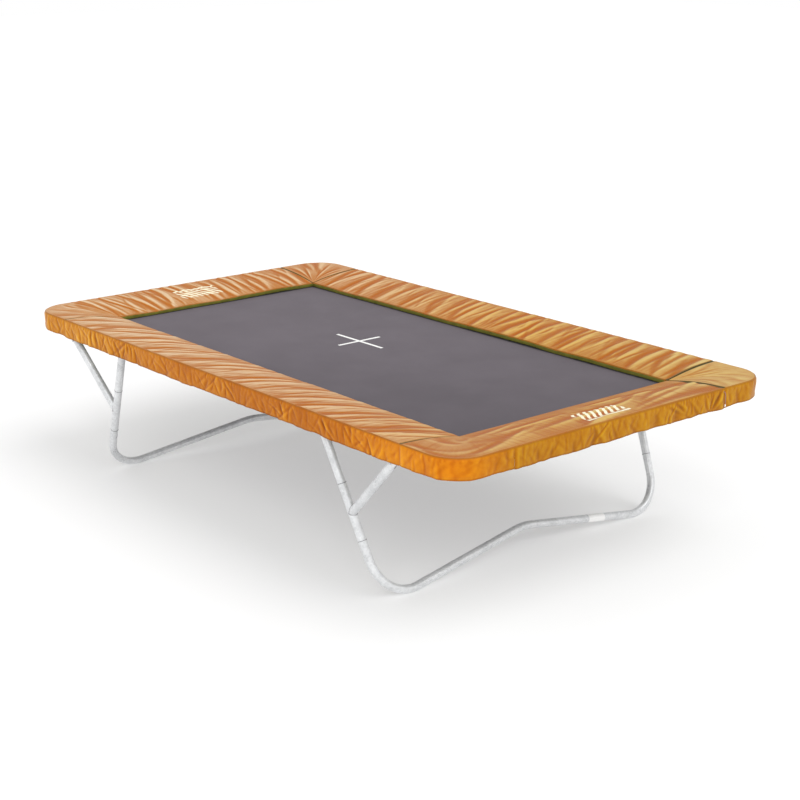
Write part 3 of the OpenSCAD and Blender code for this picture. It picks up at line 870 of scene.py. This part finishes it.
def paint_pad(obj, pad, s, u, lift, around):
    """The attributes that a pad cover's material reads, given on the top; the rest of each
    loop takes one value."""

    def paint(name, values, rest):
        full = np.full((len(s), around), float(rest))
        full[:, : u.shape[1]] = values
        attribute(obj, name, full)

    # Painted light on the top: crests of the folds are painted pale as a highlight and troughs dark
    # as shade
    contrast = 160 if pad.name == "side_back" else 200
    paint("painted_fold_light", np.clip(PALENESS.get(pad.name, 0.5) + lift * contrast, 0, 1), 0.35)
    ends = pad.from_end(s)
    # A corner pad has no inner edge, so its u counts as far from one
    inner = u + (1 if pad.kind == "corner" else 0)
    to_edge = np.minimum(np.minimum(ends, BAND - u), inner)
    # Painted shade: a dark band where pads meet stands for the shadow in the gap between them. It is
    # widest at the back corner pads' joints, the right one's most and unevenly
    painted_gap_width = 0.004 if pad.kind == "end" or pad.name.startswith("corner_back") else 0.0
    if pad.name in ("end_right", "side_back", "corner_back_right"):
        uneven = 0.006 + 0.008 * np.sin(math.pi * u / BAND)
        uneven = uneven + 0.003 * noise(9, u, s * 0, 0.05, 1)
        by_side = (s > 0) & (pad.kind != "end")
        there = (s > 0) | (pad.kind == "corner")
        painted_gap_width = np.where(there, np.where(by_side, 0.014 - 0.009 * u / BAND, uneven), painted_gap_width)
    joint = 1 - smooth(0.002 + painted_gap_width, 0.008 + painted_gap_width, ends)
    # The seam value darkens the top faintly near its edges for its seam, and takes the joints'
    # painted shade
    paint("seam", np.maximum(0.05 * (1 - smooth(0.0, 0.014, to_edge)), joint), 0.15)
    paint("stitch", smooth(0, 0.003, to_edge - 0.006) * smooth(0, 0.003, 0.014 - to_edge), 0)
    paint("print", motif(pad, s, u), 0)


def build_pad(pad, top):
    """A closed pad with a folded top."""
    lift = np.clip(top[..., 2] - pad.top_z(pad.s, pad.u), -0.0065, 0.0065)
    strayed = top - pad.place(pad.s, pad.u, top[..., 2])
    s, u, lift, strayed = (finer(a) for a in (pad.s, pad.u, lift, strayed))
    lift += 0.0010 * smooth(0, 0.02, pad.from_end(s)) * pad.wrinkles(s, u)
    loops, backing = pad_loops(pad, s, u, lift, strayed)
    rows, around = loops.shape[:2]
    faces = wrapped_faces(rows, around, pad.flip)
    finish = [int(backing <= k < around - 1) for k in range(around) for _ in range(rows - 1)]
    step = np.linalg.norm(np.diff(loops, axis=1, prepend=loops[:, :1]), axis=2)
    uvs = np.stack([np.broadcast_to(s, step.shape), np.cumsum(step, 1)], -1)
    obj = mesh_object(
        pad.name + "_pad", loops, faces, [COVER, BACKING], uvs.reshape(-1, 2),
        finish + [1, 1], crisp=55,
    )
    paint_pad(obj, pad, s, u, lift, around)
    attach(obj, "frame")
    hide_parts(pad.node("cover"), pad.kind + "_pad_foam")


def build_skirt(pad, points):
    """A thin hanging band with a turned hem, kept clear of the rail behind it."""
    s, v = skirt_places(pad)
    out = pad.place(s, BAND + 1.0, 0.0) - pad.place(s, BAND, 0.0)
    moved = points - skirt_grid(pad, 0.0)
    lift = (moved * out).sum(2)
    strayed = moved - out * lift[..., None]
    s, v, lift, strayed = (finer(a) for a in (s, v, lift, strayed))
    out = pad.place(s, BAND + 1.0, 0.0) - pad.place(s, BAND, 0.0)
    below, between = skirt_give(pad, s, v)
    lift = np.clip(lift + 0.45 * pad.pleats(s, v) * below * between, -0.0006, 0.021)
    points = pad.place(s, SKIRT_U + lift, skirt_heights(pad, s, v)) + strayed * [1, 1, 0.5]
    back = points - out * SKIRT_T

    def both(front):
        """The same values on the front and, in the other order, on the back."""
        return np.concatenate([front, front[:, ::-1]], 1)

    loops = np.concatenate([points, back[:, ::-1]], 1)
    rows, around = loops.shape[:2]
    uvs = np.stack(np.broadcast_arrays(s, np.concatenate([v, v[:, ::-1] + 0.11], 1)), -1)
    obj = mesh_object(
        pad.name + "_skirt", loops, wrapped_faces(rows, around, pad.flip), [SKIRT],
        uvs.reshape(-1, 2), crisp=70,
    )
    depth = np.broadcast_to(v / v[0, -1], points.shape[:2])
    # Painted light on the skirt: raised pleats are painted pale as a highlight and hollows dark as
    # shade
    raised = lift - running_mean(lift, 15)
    # Painted shade: the top of the skirt is darkened as the shadow under the pad's edge, and a dark
    # band runs along the hem
    seam = np.maximum(0.3 * (1 - smooth(0, 0.07, depth)), 0.5 * smooth(0.93, 0.97, depth))
    attribute(obj, "painted_fold_light", both(np.clip(0.46 + raised * 85, 0, 1)))
    attribute(obj, "seam", both(seam))
    attribute(obj, "stitch", both(smooth(0.84, 0.87, depth) * (1 - smooth(0.88, 0.91, depth))))
    attribute(obj, "print", both(depth * 0))
    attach(obj, "frame")
    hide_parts(pad.node("skirt"))


tops, skirts = settled_pads()
for pad, top, skirt in zip(PADS, tops, skirts):
    build_pad(pad, top)
    build_skirt(pad, skirt)


# --- Springs and rings ---


def spring_shape(reach=0.0):
    """One spring along +X from a ring's tip to a pin, in the frame of its place on the opening.
    reach is how much longer it is than along the sides."""
    pin, coil_end = PIN_IN + reach, COIL_END + reach
    slope = (SPRING_Z - RING_Z) / (pin - RING_TIP)
    axis_z = lambda x: RING_Z + slope * (x - RING_TIP)
    turns = round((coil_end - COIL_START) / (2.06 * WIRE_R))
    angle = np.linspace(0, 2 * math.pi * turns, 8 * turns + 1)
    x = np.linspace(COIL_START, coil_end, len(angle))
    coil = np.stack([x, COIL_R * np.cos(angle), axis_z(x) + COIL_R * np.sin(angle)], 1)
    hook_r = PIN_R + WIRE_R + 0.0002
    a = np.linspace(0.35 * math.pi, -1.0 * math.pi, 12)
    pin_hook = np.stack([pin - hook_r * np.sin(a), hook_r * np.cos(a), a * 0 + SPRING_Z], 1)
    b = np.linspace(0.0, 1.35 * math.pi, 11)
    ring_r = 0.0038
    bar = RING_TIP - 0.002
    ring_hook = np.stack([bar + ring_r * np.cos(b), b * 0, RING_Z + ring_r * np.sin(b)], 1)[::-1]
    near = [
        [COIL_START - 0.004, 0, axis_z(COIL_START - 0.004)],
        [COIL_START - 0.001, COIL_R * 0.6, axis_z(COIL_START)],
    ]
    far = [
        [coil_end + 0.001, COIL_R * 0.6, axis_z(coil_end)],
        [coil_end + 0.004, 0.001, axis_z(coil_end)],
    ]
    return tube(np.concatenate([ring_hook, near, coil, far, pin_hook]), WIRE_R, 5)


def ring_shape():
    """One triangular ring of round wire, from its sewn tab to the spring's hook."""
    wire_r, tip, back, half = 0.002, RING_TIP - 0.002, MAT_EDGE + 0.0032, 0.013
    corners = [
        [back, -half + 0.003], [back, half - 0.003], [back + 0.002, half],
        [back + 0.004, half - 0.001], [tip - 0.002, 0.0028], [tip, 0.0012],
        [tip, -0.0012], [tip - 0.002, -0.0028], [back + 0.004, -half + 0.001], [back + 0.002, -half],
    ]
    dense = []
    for i, p in enumerate(corners):
        q = corners[(i + 1) % len(corners)]
        steps = max(1, int(math.dist(p, q) / 0.006))
        dense += [
            [p[0] + (q[0] - p[0]) * k / steps, p[1] + (q[1] - p[1]) * k / steps, RING_Z]
            for k in range(steps)
        ]
    return tube(dense, wire_r, 8, closed=True)


def placed(shape, x, y, turn):
    """The shape turned about Z and moved to x, y."""
    points, faces = shape
    c, s = math.cos(turn), math.sin(turn)
    moved = points @ np.array([[c, s, 0], [-s, c, 0], [0, 0, 1]]) + [x, y, 0]
    return moved, faces


def spread(half, spare):
    """Places of the springs along an edge of the opening that reaches half to either side:
    an even number of them, more while half less spare has room for another pitch."""
    count = 2 * math.floor((half - spare) / SPRING_PITCH) + 2
    return [(i - (count - 1) / 2) * SPRING_PITCH for i in range(count)]


# Each group of springs: kind, name, side in x and in y, and their places on the opening
GROUPS = [("side", name, 0, sy, [(x, sy * OPEN_Y) for x in spread(OPEN_X, 0.04)])
          for name, sy in (("front", -1), ("back", 1))]
GROUPS += [("end", name, sx, 0, [(sx * OPEN_X, y) for y in spread(OPEN_Y, 0.03)])
           for name, sx in (("left", -1), ("right", 1))]
GROUPS += [("corner", corner_name(sx, sy), sx, sy, [(sx * OPEN_X, sy * OPEN_Y)])
           for sx in (-1, 1) for sy in (-1, 1)]

spring, corner_spring, ring = spring_shape(), spring_shape(CORNER_REACH), ring_shape()
rings = []
for kind, where, sx, sy, spots in GROUPS:
    turn = math.atan2(sy, sx)
    shape, pin = (corner_spring, PIN_IN + CORNER_REACH) if kind == "corner" else (spring, PIN_IN)
    points, faces = joined([placed(shape, x, y, turn) for x, y in spots])
    rings += [placed(ring, x, y, turn) for x, y in spots]
    obj = mesh_object(f"{kind}_springs_{where}", points, faces, [SPRING])
    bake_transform(obj)
    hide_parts(kind + "_springs")
points, faces = joined(rings)
wire_rings = mesh_object("wire_rings", points, faces, [ZINC])
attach(wire_rings, "bed")
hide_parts("v_rings")


# --- Weld beads, and painted shade where the leg tubes meet ---


def bead(start, along, across, at, seed):
    """A bead where a tube that runs along from start meets a tube on the axis at, across."""
    along, across = along.normalized(), across.normalized()
    radius, count = TUBE_R + 0.0008, 56
    path = []
    for p in circle(start, along, radius, count):
        # Where the line from p along the one tube meets the other: |w + t d| = radius
        d, w = along - across * along.dot(across), p - at
        w -= across * w.dot(across)
        b, c = w.dot(d), w.length_squared - radius**2
        t = (-b - math.sqrt(max(b * b - d.length_squared * c, 0))) / d.length_squared
        path.append(p + along * t)
    lumps = 0.0026 + 0.0005 * np.random.default_rng(seed).uniform(-1, 1, count)
    return tube(path, lumps, 8, closed=True)


# Each leg has one bead where its post meets the rail and one where its strut meets the upright
beads, joint_shade_rings = [], []
for k, (sx, sy) in enumerate([(-1, -1), (-1, 1), (1, -1), (1, 1)]):
    low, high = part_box("leg_upright_" + corner_name(sx, sy))
    middle = (low + high) / 2
    lean = Vector((-sx * math.tan(LEG_SPLAY), sy * math.tan(LEG_TUCK), 1)).normalized()
    rail = Vector((0, sy * RAIL_Y, RAIL_Z))
    beads.append(bead(middle, lean, Vector((1, 0, 0)), rail, k))
    meets = middle + lean * ((STRUT_LOW_Z - middle.z) / lean.z)
    top = Vector((sx * STRUT_TOP_X, sy * RAIL_Y, RAIL_Z))
    beads.append(bead(top, meets - top, lean, middle, k + 4))
    # Painted shade: a dark ring round the leg at each end of the upright, where the next tube
    # begins, stands for the shadow in the narrow gap between the tubes
    rise = high.z - low.z - 2 * TUBE_R * math.sqrt(1 - lean.z**2)
    for end in (-0.5, 0.5):
        line = circle(middle + lean * (rise / lean.z * end), lean, TUBE_R, 40)
        joint_shade_rings.append(tube(line, 0.0011, 6, closed=True))
for name, parts, material in (("weld_beads", beads, WELD), ("tube_joint_shade", joint_shade_rings, JOINT_SHADE)):
    points, faces = joined(parts)
    obj = mesh_object(name, points, faces, [material])
    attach(obj, "frame")


# --- Tie cord ---

# Out between the pads at the right end, over their edge and down
CORD_PATH = [
    (1.8382, 0.700, 0.846), (1.842, 0.700, 0.846), (1.846, 0.700, 0.8456), (1.8495, 0.700, 0.844),
    (1.852, 0.700, 0.841), (1.8536, 0.7002, 0.837), (1.8544, 0.7005, 0.832),
    (1.8546, 0.7008, 0.826), (1.8545, 0.701, 0.820), (1.8542, 0.7013, 0.814),
    (1.8539, 0.7015, 0.808), (1.8536, 0.7018, 0.802), (1.8533, 0.702, 0.796),
    (1.8531, 0.7021, 0.790), (1.853, 0.7022, 0.784),
]
points, faces = tube(CORD_PATH, 0.002, 12)
cord = mesh_object("orange_tie_cord", points, faces, [CORD])
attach(cord, "frame")
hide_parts("tie_cord")


# --- Floor, light and camera ---


def direction(azimuth, elevation):
    """Unit vector at that azimuth, in degrees from -Y towards +X, and elevation."""
    a, e = math.radians(azimuth), math.radians(elevation)
    return Vector((math.sin(a) * math.cos(e), -math.cos(a) * math.cos(e), math.sin(e)))


def aimed(name, data, place, back):
    """Adds a lamp or a camera at that place, looking away from back."""
    obj = bpy.data.objects.new(name, data)
    obj.location = place
    obj.rotation_euler = (-back).to_track_quat("-Z", "Y").to_euler()
    bpy.context.collection.objects.link(obj)
    return obj


def studio():
    """A white floor and sky, and four wide soft suns."""
    paper = Nodes("floor")
    paper.set(
        Base_Color=(0.60, 0.60, 0.60, 1), Roughness=0.9, Specular_IOR_Level=0.0,
        Emission_Color=(1, 1, 1, 1), Emission_Strength=0.34,
    )
    half = 40
    corners = [(-half, -half, 0), (half, -half, 0), (half, half, 0), (-half, half, 0)]
    floor = mesh_object("floor", corners, [(0, 1, 2, 3)], [paper.material])
    world = bpy.data.worlds.new("studio")
    bpy.context.scene.world = world
    world.use_nodes = True
    # White round the horizon, and softer above
    tree = world.node_tree
    coords = tree.nodes.new("ShaderNodeTexCoord")
    split = tree.nodes.new("ShaderNodeSeparateXYZ")
    height = tree.nodes.new("ShaderNodeMapRange")
    for key, value in (("From Min", 0.12), ("From Max", 0.5), ("To Min", 1.0), ("To Max", 0.62)):
        height.inputs[key].default_value = value
    tree.links.new(coords.outputs["Generated"], split.inputs["Vector"])
    tree.links.new(split.outputs["Z"], height.inputs["Value"])
    tree.nodes["Background"].inputs["Color"].default_value = (1, 1, 1, 1)
    tree.links.new(height.outputs["Result"], tree.nodes["Background"].inputs["Strength"])
    # Each light is far away and wide: name, azimuth and elevation, strength, angle across
    for name, azimuth, elevation, strength, angle in (
        ("key", 118, 58, 1.22, 50),
        ("side", 100, 30, 0.32, 40),
        ("front", 42, 34, 0.92, 35),
        ("fill", -25, 38, 0.3, 60),
    ):
        back = direction(azimuth, elevation)
        lamp = bpy.data.lights.new(name, "SUN")
        lamp.energy, lamp.angle = strength, math.radians(angle)
        aimed(name, lamp, back * 10, back)


def camera(target, azimuth, elevation, distance, lens):
    """A camera that looks at the target from that direction and distance."""
    back = direction(azimuth, elevation)
    data = bpy.data.cameras.new("camera")
    data.lens, data.sensor_width = lens, 36
    data.clip_end = 200
    place = Vector(target) + back * distance
    bpy.context.scene.camera = aimed("camera", data, place, back)


studio()
camera(
    target=(0.976, -0.636, 0.864), azimuth=49.854, elevation=16.696, distance=7.763, lens=73.417
)

bpy.context.scene.view_settings.view_transform = "Standard"
